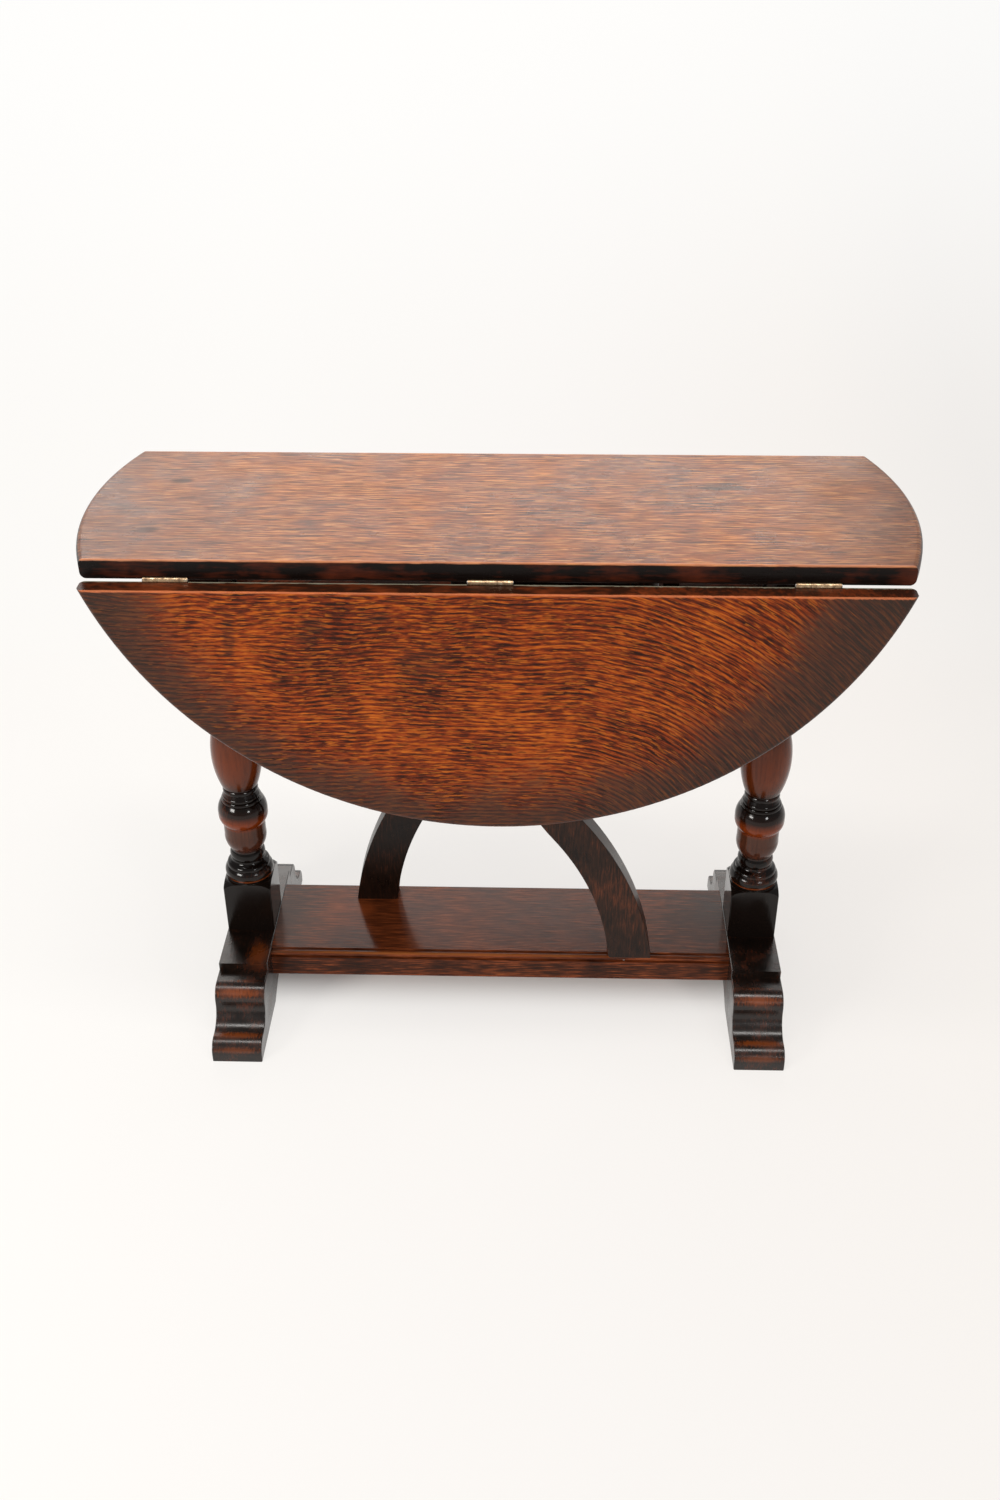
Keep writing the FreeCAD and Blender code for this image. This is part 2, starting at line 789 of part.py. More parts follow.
def add_screws(nodes):
    small = screw(small_screw)
    large = screw(large_screw)
    fixed = [at(small, x, y, underside) for x, y in hinge_screw_places(1)]
    nodes["panel_hinge_screws"] = compound(fixed + [turned_to_back(piece) for piece in fixed])
    moving = [hanging(at(small, x, y, underside)) for x, y in hinge_screw_places(-1)]
    nodes["front_leaf_hinge_screws"] = compound(moving)
    nodes["back_leaf_hinge_screws"] = compound([turned_to_back(piece) for piece in moving])
    start = underside + screw_bite - large_screw["length"]
    nodes["bearer_screws"] = compound([at(large, x, y, start) for x, y in bearer_screw_places()])
    for side in SIDES:
        rail_screws = [at(large, x, y, start) for x, y in rail_screw_places(side)]
        nodes[side + "_rail_screws"] = compound(rail_screws)
    medium = screw(medium_screw)
    start = underside + screw_bite - medium_screw["length"]
    ramp_screws = [hanging(at(medium, x, y, start)) for x, y in ramp_screw_places()]
    nodes["front_ramp_screws"] = compound(ramp_screws)
    nodes["back_ramp_screws"] = compound([turned_to_back(piece) for piece in ramp_screws])


os.makedirs("parts", exist_ok=True)
for node, shape in build().items():
    shape.exportStep("parts/" + node + ".step")
    print(node, len(shape.Solids), shape.isValid(), round(shape.Volume))
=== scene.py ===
import bpy
import math
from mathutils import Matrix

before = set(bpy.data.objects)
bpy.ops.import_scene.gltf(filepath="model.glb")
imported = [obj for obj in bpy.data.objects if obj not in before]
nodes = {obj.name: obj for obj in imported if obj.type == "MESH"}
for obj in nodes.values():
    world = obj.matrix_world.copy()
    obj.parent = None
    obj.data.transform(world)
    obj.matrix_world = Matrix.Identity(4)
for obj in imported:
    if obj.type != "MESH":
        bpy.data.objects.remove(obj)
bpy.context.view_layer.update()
print("frame loaded:", len(nodes), "nodes")

# Sizes of the table in metres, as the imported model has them
table = {
    "topHalfLength": 0.356,
    "topLevel": 0.5245,
    "underside": 0.507,
    "panelEdge": 0.1145,
    "leafEdge": 0.1155,  # of a leaf when it is level
    "postMiddle": 0.268,
    "blockTop": 0.123,
}

# Camera: standing in front, looking down on the table
cameraView = {
    "place": (0.0345, -1.2052, 1.0542),
    "turn": (57.03, 0.19, 1.52),  # degrees
    "lens": 36.25,
    "film": 36.0,  # millimetres, along the tall side of the picture
}

# Studio: white paper swept up behind, a big softbox in front on the left, a smaller one on the
# right, one overhead, a wide one behind that lays a sheen on what lies level, and an even pale room
studio = {
    "paperColour": "#F6F3EF",
    "paperHalfWidth": 6.0,
    "paperFront": -6.0,
    "sweepStart": 0.5,
    "sweepRadius": 2.6,
    "wallTop": 4.0,
    # how much of the paper is seen as plain white: two distances and the share at each, first
    # away from the shelf's middle line and then towards the wall, so the shadow stays by the table
    "underGlow": (0.0, 0.07, 0.0, 0.78),
    "underReach": 0.22,  # half the length of that middle line
    "farGlow": (0.05, 0.80, 0.0, 0.94),
    # the glow is a little greyer towards the right: painted shade on the backdrop, as the lamps light it
    # from the left
    "glowAndPaintedShadeAcross": [(0.0, "#FDFBF8"), (0.45, "#FAF7F4"), (0.80, "#F6F2EE"), (1.0, "#F0EDEA")],
    "glowLeft": -0.50,
    "glowRight": 0.75,
    "glowBehind": "#FFFFFE",
    "behind": (1.1, 2.3, 0.8),  # where that colour starts, where it is full, and its share
    "roomColour": "#F8F8FA",
    "roomStrength": 0.34,  # as light on the table
    "roomSeen": 1.0,  # as seen past the paper
    "sweepSteps": 24,
    "tolerance": 1e-6,
    "lampAim": (0.0, 0.0, 0.3),
    "lamps": [
        {"name": "softboxLeft", "place": (-1.50, -1.48, 0.86), "size": (0.68, 0.32),
         "power": 21.0, "colour": "#FFFCF8"},
        {"name": "softboxRight", "place": (1.00, -1.65, 0.80), "size": (0.34, 0.20),
         "power": 6.0, "colour": "#FFFFFF"},
        {"name": "softboxBehind", "place": (-0.32, 2.20, 1.50), "size": (2.45, 0.84),
         "power": 21.5, "colour": "#FFF8F2"},
        {"name": "softboxAbove", "place": (-0.06, -0.50, 2.60), "size": (1.80, 0.42),
         "power": 34.0, "colour": "#FFFCF8"},
    ],
}


def toLinear(hexColour):
    # sRGB hex to linear red, green, blue and alpha
    parts = [int(hexColour[i:i + 2], 16) / 255 for i in (1, 3, 5)]
    return tuple(p / 12.92 if p <= 0.04045 else ((p + 0.055) / 1.055) ** 2.4 for p in parts) + (1.0,)


def addNode(tree, kind, settings=None, links=None):
    # settings name a node property or an input, stops fill a colour ramp,
    # links join an input to another node or to one of its outputs
    node = tree.nodes.new("ShaderNode" + kind)
    for key, value in (settings or {}).items():
        if key == "stops":
            ramp = node.color_ramp.elements
            while len(ramp) < len(value):
                ramp.new(1.0)
            for element, (position, colour) in zip(ramp, value):
                element.position = position
                element.color = toLinear(colour)
        elif isinstance(key, str) and hasattr(node, key):
            setattr(node, key, value)
        else:
            node.inputs[key].default_value = value
    for key, source in (links or {}).items():
        tree.links.new(getattr(source, "outputs", [source])[0], node.inputs[key])
    return node


def newMaterial(name):
    material = bpy.data.materials.new(name)
    material.use_nodes = True
    material.node_tree.nodes.clear()
    return material, material.node_tree


def placeCamera():
    camera = bpy.data.objects.new("tableCamera", bpy.data.cameras.new("tableCamera"))
    camera.data.sensor_fit = "VERTICAL"
    camera.data.sensor_height = cameraView["film"]
    camera.data.lens = cameraView["lens"]
    camera.location = cameraView["place"]
    camera.rotation_euler = [math.radians(angle) for angle in cameraView["turn"]]
    bpy.context.scene.collection.objects.link(camera)
    bpy.context.scene.camera = camera


def deselectAll():
    bpy.ops.object.select_all(action="DESELECT")


def paperMaterial():
    # matt white studio paper; what is seen of it is mostly an even white, so shadows stay faint
    material, tree = newMaterial("studioPaper")
    place = addNode(tree, "TexCoord").outputs["Object"]
    axes = addNode(tree, "SeparateXYZ", {}, {0: place})
    across = addNode(tree, "MapRange", {"From Min": studio["glowLeft"], "From Max": studio["glowRight"]},
                     {"Value": axes.outputs["X"]})
    glow = addNode(tree, "ValToRGB", {"stops": studio["glowAndPaintedShadeAcross"]}, {"Fac": across})
    low, high, most = studio["behind"]
    away = addNode(tree, "MapRange", {"interpolation_type": "SMOOTHSTEP", "From Min": low,
                                      "From Max": high, "To Max": most}, {"Value": axes.outputs["Y"]})
    glow = addNode(tree, "MixRGB", {"Color2": toLinear(studio["glowBehind"])},
                   {"Fac": away, "Color1": glow})
    path = addNode(tree, "LightPath")
    seen = addNode(tree, "Math", {"operation": "MAXIMUM"},
                   {0: path.outputs["Is Camera Ray"], 1: path.outputs["Is Glossy Ray"]})
    seen = addNode(tree, "Math", {"operation": "MAXIMUM"},
                   {0: seen, 1: path.outputs["Is Transmission Ray"]})
    aside = addNode(tree, "Math", {"operation": "ABSOLUTE"}, {0: axes.outputs["Y"]})
    beyond = addNode(tree, "Math", {"operation": "ABSOLUTE"}, {0: axes.outputs["X"]})
    beyond = addNode(tree, "Math", {"operation": "SUBTRACT", 1: studio["underReach"]}, {0: beyond})
    aside = addNode(tree, "Math", {"operation": "MAXIMUM"}, {0: aside, 1: beyond})
    low, high, least, most = studio["underGlow"]
    share = addNode(tree, "MapRange", {"interpolation_type": "SMOOTHSTEP", "From Min": low,
                                       "From Max": high, "To Min": least, "To Max": most},
                    {"Value": aside})
    low, high, least, most = studio["farGlow"]
    away = addNode(tree, "MapRange", {"interpolation_type": "SMOOTHSTEP", "From Min": low, "From Max": high,
                                      "To Min": least, "To Max": most}, {"Value": axes.outputs["Y"]})
    share = addNode(tree, "Math", {"operation": "MAXIMUM"}, {0: share, 1: away})
    share = addNode(tree, "Math", {"operation": "MULTIPLY"}, {0: seen, 1: share})
    paper = addNode(tree, "BsdfDiffuse", {"Color": toLinear(studio["paperColour"])})
    white = addNode(tree, "Emission", {"Strength": 1.0}, {"Color": glow})
    surface = addNode(tree, "MixShader", {}, {"Fac": share, 1: paper, 2: white})
    addNode(tree, "OutputMaterial", {}, {"Surface": surface})
    return material


def buildStudio():
    deselectAll()
    side = studio["paperHalfWidth"]
    bpy.ops.mesh.primitive_plane_add(size=1, location=(0, 0, 0))
    paper = bpy.context.object
    paper.name = "studioPaper"
    mesh = paper.data
    mesh.vertices[0].co = (-side, studio["paperFront"], 0)
    mesh.vertices[1].co = (side, studio["paperFront"], 0)
    mesh.vertices[2].co = (-side, studio["sweepStart"], 0)
    mesh.vertices[3].co = (side, studio["sweepStart"], 0)
    bpy.ops.object.mode_set(mode="EDIT")
    bpy.ops.mesh.select_all(action="DESELECT")
    bpy.ops.object.mode_set(mode="OBJECT")
    for edge in mesh.edges:
        ends = [mesh.vertices[i].co.y for i in edge.vertices]
        edge.select = all(abs(y - studio["sweepStart"]) < studio["tolerance"] for y in ends)
    bpy.ops.object.mode_set(mode="EDIT")
    bpy.ops.mesh.select_mode(type="EDGE")
    bpy.ops.mesh.spin(steps=studio["sweepSteps"], angle=math.radians(-90), axis=(1, 0, 0),
                      center=(0, studio["sweepStart"], studio["sweepRadius"]))
    bpy.ops.mesh.extrude_region_move(
        TRANSFORM_OT_translate={"value": (0, 0, studio["wallTop"] - studio["sweepRadius"])})
    bpy.ops.mesh.select_all(action="SELECT")
    bpy.ops.mesh.normals_make_consistent(inside=False)
    bpy.ops.object.mode_set(mode="OBJECT")
    bpy.ops.object.shade_smooth()
    paper.data.materials.append(paperMaterial())

    for lamp in studio["lamps"]:
        light = bpy.data.lights.new(lamp["name"], "AREA")
        light.shape = "RECTANGLE"
        light.size, light.size_y = lamp["size"]
        light.energy = lamp["power"]
        light.color = toLinear(lamp["colour"])[:3]
        softbox = bpy.data.objects.new(lamp["name"], light)
        softbox.location = lamp["place"]
        aim = [a - b for a, b in zip(studio["lampAim"], lamp["place"])]
        flat = math.hypot(aim[0], aim[1])
        softbox.rotation_euler = (math.atan2(flat, -aim[2]), 0, math.atan2(aim[1], aim[0]) - math.pi / 2)
        softbox.visible_camera = False
        bpy.context.scene.collection.objects.link(softbox)

    world = bpy.data.worlds.new("studioRoom")
    bpy.context.scene.world = world
    world.use_nodes = True
    tree = world.node_tree
    tree.nodes.clear()
    path = addNode(tree, "LightPath")
    strength = addNode(tree, "MapRange", {"To Min": studio["roomStrength"],
                                           "To Max": studio["roomSeen"]},
                       {"Value": path.outputs["Is Camera Ray"]})
    room = addNode(tree, "Background", {"Color": toLinear(studio["roomColour"])}, {"Strength": strength})
    addNode(tree, "OutputWorld", {}, {"Surface": room})


# Oak boards: old stained oak with a waxed polish. Dark stain stays in the pores and towards the
# rims, warm brown and orange show where hands have worn it. A grey haze on the top's left end is
# painted sheen, and a pale line on the leaves' inner arris is a painted highlight. Sizes are in
# metres; fibres and pores are drawn about three times as coarse as oak's own, so that they show.

panelLook = {
    "turn": (0, 0, 0),
    "shift": (0, 0, 0),
    "seed": 1.7,
    "fibre": (0.028, 0.0012),  # length and width of a fibre
    "fleck": (0.022, 0.0012),
    "pore": (0.018, 0.0010),
    "line": (0.060, 0.0060),  # length and spacing of the growth lines
    "patch": 0.060,
    "wave": (0.150, 0.008),  # length and height of the grain's wander
    "arch": (0.0, 0.0, -0.30),  # where the grain starts to arch, how much, and round what level
    "shares": (0.03, 0.70, 0.34),  # of lines, fibres and patches in the tone
    "stops": [(0.36, "#3A190E"), (0.45, "#703A20"), (0.54, "#A05A30"), (0.66, "#CC8246")],
    "fleckColour": "#DE9A5C",
    "fleckShare": 0.65,
    "poreColour": "#2E160C",
    "poreShare": 0.65,
    # towards the left end a grey haze is painted sheen, standing in for reflected light
    "alongToneAndSheenColours": [(0.0, "#6C5A54"), (0.22, "#846450"), (0.86, "#865A38"), (1.0, "#402E24")],
    "alongToneAndSheenShares": [(0.0, "#B0B0B0"), (0.22, "#606060"), (0.45, "#000000"), (0.78, "#000000"),
                    (0.92, "#A0A0A0")],
    "rim": "#4A382E",
    "rimOval": (0.0, 0.356, 0.345),  # middle and half sizes of the oval that the stain follows
    "rimStart": 0.96,
    "rimShare": 0.6,
    "edgeColour": "#0E0806",
    "edgeRed": "#5A2512",
    "edgeRedness": 0.7,
    "arris": "#D08A66",
    "lowerArrisLineAndHighlight": "#120B08",
    "edge": "panelEdge",
    "gloss": 0.30,
    "specular": 0.13,
    "marks": [  # middle, half length and half width, colour and share of a plug, knot or stain
        (-0.283, 0.045, 0.011, 0.0065, "#3A1E12", 0.8),
        (-0.292, -0.0586, 0.0115, 0.007, "#3A1E12", 0.8),
        (-0.196, 0.108, 0.012, 0.006, "#4A2618", 0.6),
        (0.192, 0.040, 0.022, 0.010, "#2A201C", 0.6),
        (-0.341, -0.0775, 0.006, 0.0009, "#1C120D", 0.8),
    ],
}

leafLook = {
    "turn": (-90, 0, 0),
    "shift": (0, -0.6212, 0.391),
    "seed": 4.1,
    "fibre": (0.014, 0.0014),
    "fleck": (0.011, 0.0012),
    "pore": (0.012, 0.0012),
    "line": (0.040, 0.0044),
    "patch": 0.055,
    "wave": (0.130, 0.010),
    "arch": (0.050, 0.92, -0.375),
    "shares": (0.12, 0.68, 0.42),
    "stops": [(0.36, "#280F07"), (0.45, "#561F0A"), (0.54, "#88360D"), (0.66, "#B45A16")],
    "fleckColour": "#C0681C",
    "fleckShare": 0.50,
    "poreColour": "#241008",
    "poreShare": 0.60,
    "alongToneAndSheenColours": [(0.0, "#35251C"), (0.5, "#7A4424"), (1.0, "#362A22")],
    "alongToneAndSheenShares": [(0.0, "#909090"), (0.15, "#303030"), (0.22, "#000000"), (0.80, "#000000"),
                    (0.92, "#A0A0A0")],
    "rim": "#2E2722",
    "rimOval": (-0.014, 0.356, 0.368),
    "rimStart": 0.79,
    "rimShare": 0.80,
    "edgeColour": "#2E170D",
    "edgeRed": "#7A3517",
    "edgeRedness": 0.8,
    "arris": "#D0764A",
    # painted highlight: a pale greenish line on the leaf's inner arris, in the joint under the panel
    "lowerArrisLineAndHighlight": "#8E8B78",
    "edge": "leafEdge",
    "gloss": 0.30,
    "specular": 0.13,
    "marks": [
        (-0.2166, -0.160, 0.006, 0.020, "#2C1B14", 0.45),
        (-0.1455, -0.145, 0.013, 0.008, "#2C1B14", 0.45),
        (-0.155, -0.158, 0.010, 0.007, "#2C1B14", 0.45),
        (-0.095, -0.138, 0.014, 0.006, "#2C1B14", 0.45),
        (-0.060, -0.180, 0.022, 0.018, "#3A2418", 0.35),
    ],
}

backLeafLook = dict(leafLook, turn=(90, 0, 180), seed=9.3, arch=(-0.06, 0.6, -0.375), marks=[])

# What all three boards share; a cut is the pair of levels between which a mask comes in
boardFinish = {
    "fleckCut": (0.57, 0.63),
    "poreCut": (0.55, 0.62),
    "rag": 0.020,  # length of a chip along a worn edge
    "bandScale": 0.314,  # one growth line for each unit of the stretched place
    "depth": 3,  # how many times its width a fibre is deep
    "unevenAlong": 0.22,  # how far patches shift the tone along the board
    "markRag": 2.2,  # how much fibres fray a mark's outline
    "markCut": (2.35, 1.6),
    "rimRag": (0.34, 0.32),  # how much patches and fibres fray the rim's stain
    "rimCut": (0.32, 0.46),  # past the look's rimStart
    "edgeDepth": (0.0008, 0.0022),  # below the top, where the face turns into the edge
    "edgeRag": 0.5,
    "edgeCut": (0.44, 0.66),
    "arrisRag": 0.0024,
    "arrisCut": (0.0006, -0.0002),
    "arrisShare": 0.65,
    # the line along the lower arris, which on the leaves is a painted highlight
    "lowerArrisLineRag": 0.004,
    "lowerArrisLineCut": (0.0002, -0.0006),
    "lowerArrisLineShare": 0.8,
    "glossSpread": (-0.05, 0.09),  # over patches
    "glossCut": (0.35, 0.65),
    "poreRelief": -0.6,
    "bump": 0.35,
    "bumpDepth": 0.00025,
}


def stretched(tree, size, place, seed, detail):
    # a noise drawn out along the grain; size gives its length and width
    length, width = size
    depth = boardFinish["depth"] * width
    spread = addNode(tree, "Mapping", {"Scale": (1 / length, 1 / width, 1 / depth)}, {"Vector": place})
    return addNode(tree, "TexNoise", {"noise_dimensions": "4D", "Scale": 1.0, "Detail": detail,
                                      "Roughness": 0.6, "W": seed}, {"Vector": spread})


def boardMaterial(name, look):
    # waxed oak: pale and dark dashes along the grain, dark stain round the rim, a worn long edge
    finish = boardFinish
    material, tree = newMaterial(name)
    coordinates = addNode(tree, "TexCoord")
    turn = tuple(math.radians(angle) for angle in look["turn"])
    # the board's own points are brought to where they lie when the top is open and level
    place = addNode(tree, "Mapping", {"Location": look["shift"], "Rotation": turn},
                    {"Vector": coordinates.outputs["Object"]})
    axes = addNode(tree, "SeparateXYZ", {}, {0: place})
    x, y, z = axes.outputs["X"], axes.outputs["Y"], axes.outputs["Z"]
    seed = look["seed"]

    # slow wander of the grain, and patches of tone
    wave = addNode(tree, "TexNoise", {"noise_dimensions": "4D", "Scale": 1 / look["wave"][0], "Detail": 2.0,
                                      "W": seed}, {"Vector": place})
    patch = addNode(tree, "TexNoise", {"noise_dimensions": "4D", "Scale": 1 / look["patch"], "Detail": 4.0,
                                       "Roughness": 0.6, "W": seed + 3}, {"Vector": place})
    wander = addNode(tree, "Math", {"operation": "MULTIPLY_ADD", 1: look["wave"][1] * 2,
                                    2: -look["wave"][1]}, {0: wave})
    across = addNode(tree, "Math", {"operation": "ADD"}, {0: y, 1: wander})

    # the grain arches round a middle on the rim
    archStart, archAmount, archLevel = look["arch"]
    along = addNode(tree, "Math", {"operation": "SUBTRACT", 1: archStart}, {0: x})
    along = addNode(tree, "Math", {"operation": "MAXIMUM", 1: 0.0}, {0: along})
    along = addNode(tree, "Math", {"operation": "MULTIPLY", 1: archAmount}, {0: along})
    over = addNode(tree, "Math", {"operation": "SUBTRACT", 1: archLevel}, {0: across})
    arch = addNode(tree, "CombineXYZ", {}, {"X": along, "Y": over})
    ring = addNode(tree, "VectorMath", {"operation": "LENGTH"}, {0: arch}).outputs["Value"]
    grain = addNode(tree, "CombineXYZ", {}, {"X": x, "Y": ring, "Z": z})

    # fibres, pores and pale flecks: short dashes along the grain
    fibre = stretched(tree, look["fibre"], grain, seed + 5, 3.0)
    pore = stretched(tree, look["pore"], grain, seed + 11, 1.0)
    fleck = stretched(tree, look["fleck"], grain, seed + 13, 1.0)
    rag = stretched(tree, (finish["rag"], look["fibre"][1]), grain, seed + 7, 2.0)

    # growth lines, ragged along their length
    length, gap = look["line"]
    linePlace = addNode(tree, "Mapping", {"Scale": (1 / length, 1 / gap, 1 / gap)}, {"Vector": grain})
    lines = addNode(tree, "TexWave", {"bands_direction": "Y", "Scale": finish["bandScale"],
                                      "Distortion": 5.0, "Detail": 3.0, "Detail Scale": 1.0,
                                      "Detail Roughness": 0.6}, {"Vector": linePlace})

    lineShare, fibreShare, patchShare = look["shares"]
    shareSum = sum(look["shares"])
    tone = addNode(tree, "Math", {"operation": "MULTIPLY_ADD", 1: lineShare, 2: 0.5 - shareSum / 2},
                   {0: lines})
    tone = addNode(tree, "Math", {"operation": "MULTIPLY_ADD", 1: fibreShare}, {0: fibre, 2: tone})
    tone = addNode(tree, "Math", {"operation": "MULTIPLY_ADD", 1: patchShare}, {0: patch, 2: tone})
    colour = addNode(tree, "ValToRGB", {"stops": look["stops"]}, {"Fac": tone})

    low, high = finish["fleckCut"]
    fleckMask = addNode(tree, "MapRange", {"From Min": low, "From Max": high, "To Max": look["fleckShare"]},
                        {"Value": fleck})
    colour = addNode(tree, "MixRGB", {"Color2": toLinear(look["fleckColour"])},
                     {"Fac": fleckMask, "Color1": colour})
    low, high = finish["poreCut"]
    poreMask = addNode(tree, "MapRange", {"From Min": low, "From Max": high, "To Max": look["poreShare"]},
                       {"Value": pore})
    colour = addNode(tree, "MixRGB", {"Color2": toLinear(look["poreColour"])},
                     {"Fac": poreMask, "Color1": colour})

    # tone along the board, darker towards its ends; the grey haze towards the top panel's left end is
    # painted sheen
    halfLength = table["topHalfLength"]
    length = addNode(tree, "MapRange", {"From Min": -halfLength, "From Max": halfLength}, {"Value": x})
    uneven = addNode(tree, "Math", {"operation": "MULTIPLY_ADD", 1: finish["unevenAlong"],
                                    2: -finish["unevenAlong"] / 2}, {0: patch})
    length = addNode(tree, "Math", {"operation": "ADD"}, {0: length, 1: uneven})
    alongToneAndSheenColour = addNode(tree, "ValToRGB", {"stops": look["alongToneAndSheenColours"]}, {"Fac": length})
    alongToneAndSheenShare = addNode(tree, "ValToRGB", {"stops": look["alongToneAndSheenShares"]}, {"Fac": length})
    colour = addNode(tree, "MixRGB", {}, {"Fac": alongToneAndSheenShare, "Color1": colour, "Color2": alongToneAndSheenColour})

    # plugs, knots and stains
    low, high = finish["markCut"]
    for markX, markY, markLong, markWide, markColour, share in look["marks"]:
        away = addNode(tree, "Mapping", {"Location": (-markX / markLong, -markY / markWide, 0),
                                         "Scale": (1 / markLong, 1 / markWide, 0)}, {"Vector": place})
        reach = addNode(tree, "VectorMath", {"operation": "LENGTH"}, {0: away}).outputs["Value"]
        reach = addNode(tree, "Math", {"operation": "MULTIPLY_ADD", 1: finish["markRag"]},
                        {0: fibre, 2: reach})
        mark = addNode(tree, "MapRange", {"interpolation_type": "SMOOTHSTEP", "From Min": low,
                                          "From Max": high, "To Max": share}, {"Value": reach})
        colour = addNode(tree, "MixRGB", {"Color2": toLinear(markColour)}, {"Fac": mark, "Color1": colour})

    # the stain is darkest round the oval rim
    middle, halfLong, halfAcross = look["rimOval"]
    ovalPlace = addNode(tree, "Mapping", {"Location": (-middle / halfLong, 0, 0),
                                          "Scale": (1 / halfLong, 1 / halfAcross, 0)}, {"Vector": place})
    oval = addNode(tree, "VectorMath", {"operation": "LENGTH"}, {0: ovalPlace}).outputs["Value"]
    patchRag, fibreRag = finish["rimRag"]
    oval = addNode(tree, "Math", {"operation": "MULTIPLY_ADD", 1: patchRag}, {0: patch, 2: oval})
    oval = addNode(tree, "Math", {"operation": "MULTIPLY_ADD", 1: fibreRag}, {0: fibre, 2: oval})
    low, high = finish["rimCut"]
    rim = addNode(tree, "MapRange", {"interpolation_type": "SMOOTHSTEP",
                                     "From Min": look["rimStart"] + low,
                                     "From Max": look["rimStart"] + high,
                                     "To Max": look["rimShare"]}, {"Value": oval})
    colour = addNode(tree, "MixRGB", {"Color2": toLinear(look["rim"])}, {"Fac": rim, "Color1": colour})

    # edges and underside are darker and redder
    low, high = finish["edgeDepth"]
    below = addNode(tree, "MapRange", {"interpolation_type": "SMOOTHSTEP",
                                       "From Min": table["topLevel"] - low,
                                       "From Max": table["topLevel"] - high}, {"Value": z})
    edgeTone = addNode(tree, "Math", {"operation": "MULTIPLY_ADD", 1: finish["edgeRag"],
                                      2: -finish["edgeRag"] / 2}, {0: fibre})
    edgeTone = addNode(tree, "Math", {"operation": "ADD"}, {0: patch, 1: edgeTone})
    low, high = finish["edgeCut"]
    edgeTone = addNode(tree, "MapRange", {"From Min": low, "From Max": high, "To Max": look["edgeRedness"]},
                       {"Value": edgeTone})
    edgeColour = addNode(tree, "MixRGB", {"Color1": toLinear(look["edgeColour"]),
                                          "Color2": toLinear(look["edgeRed"])}, {"Fac": edgeTone})
    colour = addNode(tree, "MixRGB", {}, {"Fac": below, "Color1": colour, "Color2": edgeColour})

    # the long upper arris is worn to bare wood; along the lower one a line is painted, on the leaves a
    # pale painted highlight on the inner arris in the joint, on the panel a near-black line
    fromEdge = addNode(tree, "Math", {"operation": "ABSOLUTE"}, {0: y})
    fromEdge = addNode(tree, "Math", {"operation": "SUBTRACT", 1: table[look["edge"]]}, {0: fromEdge})
    fromTop = addNode(tree, "Math", {"operation": "SUBTRACT", 1: table["topLevel"]}, {0: z})
    fromArris = addNode(tree, "CombineXYZ", {}, {"X": fromEdge, "Y": fromTop})
    fromArris = addNode(tree, "VectorMath", {"operation": "LENGTH"}, {0: fromArris}).outputs["Value"]
    chipped = addNode(tree, "Math", {"operation": "MULTIPLY_ADD", 1: -finish["arrisRag"]},
                      {0: rag, 2: fromArris})
    low, high = finish["arrisCut"]
    worn = addNode(tree, "MapRange", {"From Min": low, "From Max": high, "To Max": finish["arrisShare"]},
                   {"Value": chipped})
    colour = addNode(tree, "MixRGB", {"Color2": toLinear(look["arris"])}, {"Fac": worn, "Color1": colour})
    fromUnder = addNode(tree, "Math", {"operation": "SUBTRACT", 1: table["underside"]}, {0: z})
    fromLowerArris = addNode(tree, "CombineXYZ", {}, {"X": fromEdge, "Y": fromUnder})
    fromLowerArris = addNode(tree, "VectorMath", {"operation": "LENGTH"}, {0: fromLowerArris}).outputs["Value"]
    fromLowerArris = addNode(tree, "Math", {"operation": "MULTIPLY_ADD", 1: -finish["lowerArrisLineRag"]},
                       {0: rag, 2: fromLowerArris})
    low, high = finish["lowerArrisLineCut"]
    lowerArrisLineMask = addNode(tree, "MapRange", {"From Min": low, "From Max": high, "To Max": finish["lowerArrisLineShare"]},
                    {"Value": fromLowerArris})
    colour = addNode(tree, "MixRGB", {"Color2": toLinear(look["lowerArrisLineAndHighlight"])}, {"Fac": lowerArrisLineMask, "Color1": colour})

    low, high = finish["glossCut"]
    glossier, duller = finish["glossSpread"]
    gloss = addNode(tree, "MapRange", {"From Min": low, "From Max": high,
                                       "To Min": look["gloss"] + glossier,
                                       "To Max": look["gloss"] + duller}, {"Value": patch})
    relief = addNode(tree, "Math", {"operation": "MULTIPLY_ADD", 1: finish["poreRelief"]},
                     {0: poreMask, 2: fibre})
    bump = addNode(tree, "Bump", {"Strength": finish["bump"], "Distance": finish["bumpDepth"]},
                   {"Height": relief})
    surface = addNode(tree, "BsdfPrincipled", {"Specular IOR Level": look["specular"]},
                      {"Base Color": colour, "Roughness": gloss, "Normal": bump})
    addNode(tree, "OutputMaterial", {}, {"Surface": surface})
    return material


# Underframe: oak turned or sawn, stained nearly black and polished, rubbed to red brown where it
# stands proud. The first value holds for the posts too, the others for sawn pieces only.
underframe = {
    "glossCut": (0.3, 0.7),
    "glossSpread": (-0.05, 0.08),  # over patches
    "wearRag": 2.0,  # how much the grain frays a worn patch
    "wearCut": (2.1, 1.3),
    "bumpDepth": 0.00025,
}

